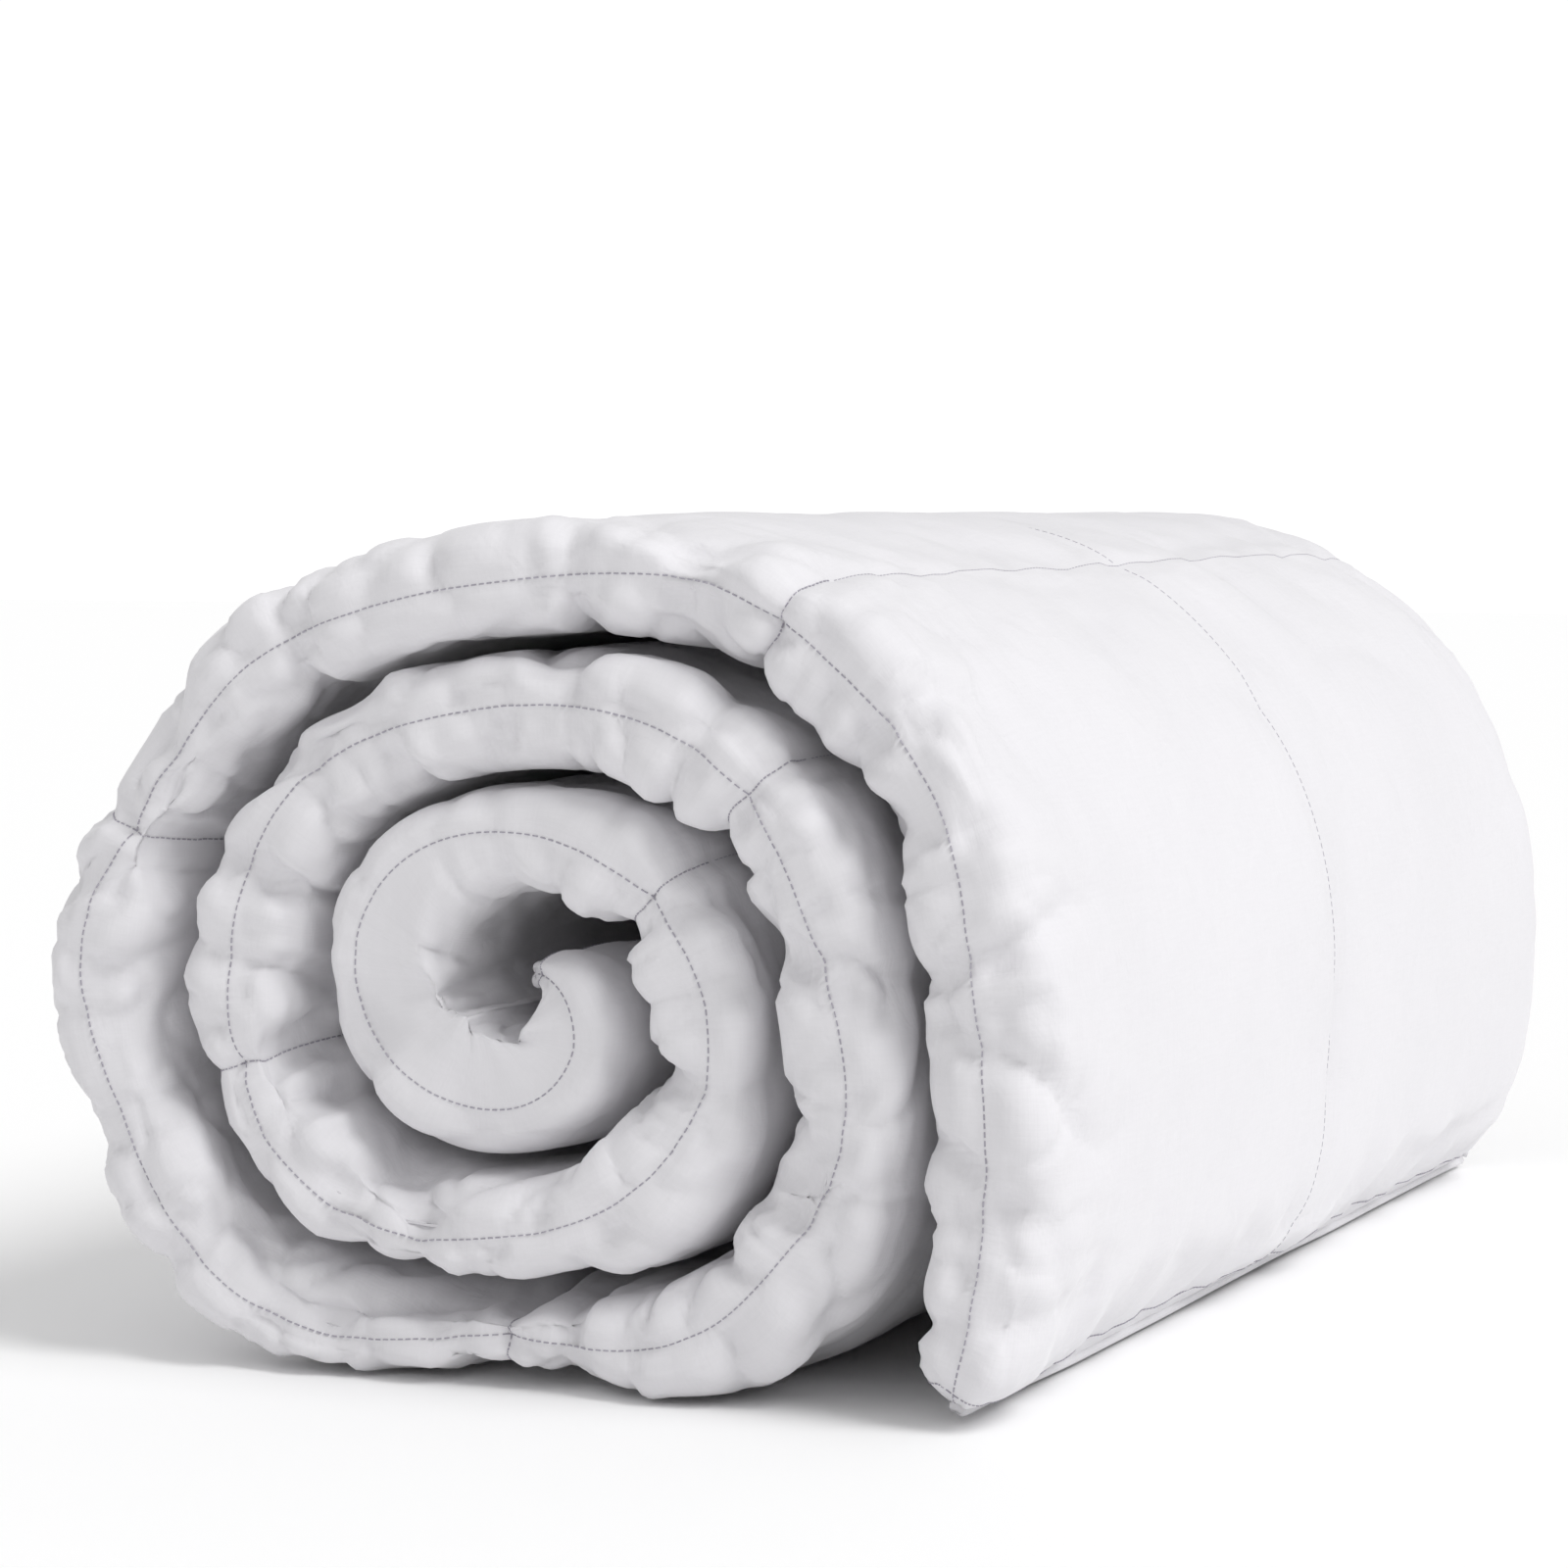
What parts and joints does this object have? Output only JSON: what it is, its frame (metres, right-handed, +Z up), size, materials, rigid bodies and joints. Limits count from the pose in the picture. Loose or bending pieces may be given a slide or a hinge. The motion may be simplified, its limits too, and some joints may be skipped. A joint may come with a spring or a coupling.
{
  "type": "rolled duvet",
  "caption": "White quilted down duvet, folded in half lengthwise and rolled up on its side, with a free outer end that hangs to the floor and can be lifted to start unrolling it.",
  "frame": {"origin": "on the floor, below the middle of the rolled duvet's bounding box", "axes": "+Z up; Y is the roll's own axis with the lengthwise fold at -Y and the loose long edges at +Y; the free outer end hangs on the +X side"},
  "size_m": [0.4228, 0.7114, 0.3258],
  "materials": {
    "ticking": "crisp downproof cotton percale, matt with a faint sheen",
    "lining": "the same cotton percale, inside the fold",
    "down": "down and feather filling",
    "cord": "self-piped cotton edge with a double row of stitching"
  },
  "bodies": {
    "roll": {"face_panel_roll": "ticking", "back_panel_roll": "lining", "edge_cord_outer_roll": "cord", "edge_cord_inner_roll": "cord", "hem_cord_core": "cord", "fill_row2_outer_front": "down", "fill_row2_outer_back": "down", "fill_row2_inner_front": "down", "fill_row2_inner_back": "down", "fill_row3_outer_front": "down", "fill_row3_outer_back": "down", "fill_row3_inner_front": "down", "fill_row3_inner_back": "down", "fill_row4_outer_front": "down", "fill_row4_outer_back": "down", "fill_row4_inner_front": "down", "fill_row4_inner_back": "down", "fill_row5_outer_front": "down", "fill_row5_outer_back": "down", "fill_row5_inner_front": "down", "fill_row5_inner_back": "down", "fill_row6_outer_front": "down", "fill_row6_outer_back": "down", "fill_row6_inner_front": "down", "fill_row6_inner_back": "down", "fill_row7_outer_front": "down", "fill_row7_outer_back": "down", "fill_row7_inner_front": "down", "fill_row7_inner_back": "down"},
    "free_end": {"face_panel_flap": "ticking", "back_panel_flap": "lining", "edge_cord_outer_flap": "cord", "edge_cord_inner_flap": "cord", "hem_cord_flap": "cord", "fill_row1_outer_front": "down", "fill_row1_outer_back": "down", "fill_row1_inner_front": "down", "fill_row1_inner_back": "down"}
  },
  "joints": [
    {"name": "free_end_lift", "type": "hinge", "parent": "roll", "child": "free_end", "pos_m": [0.10464, 0, 0.28747], "axis": [0, -1, 0], "range_deg": [0, 60]}
  ]
}
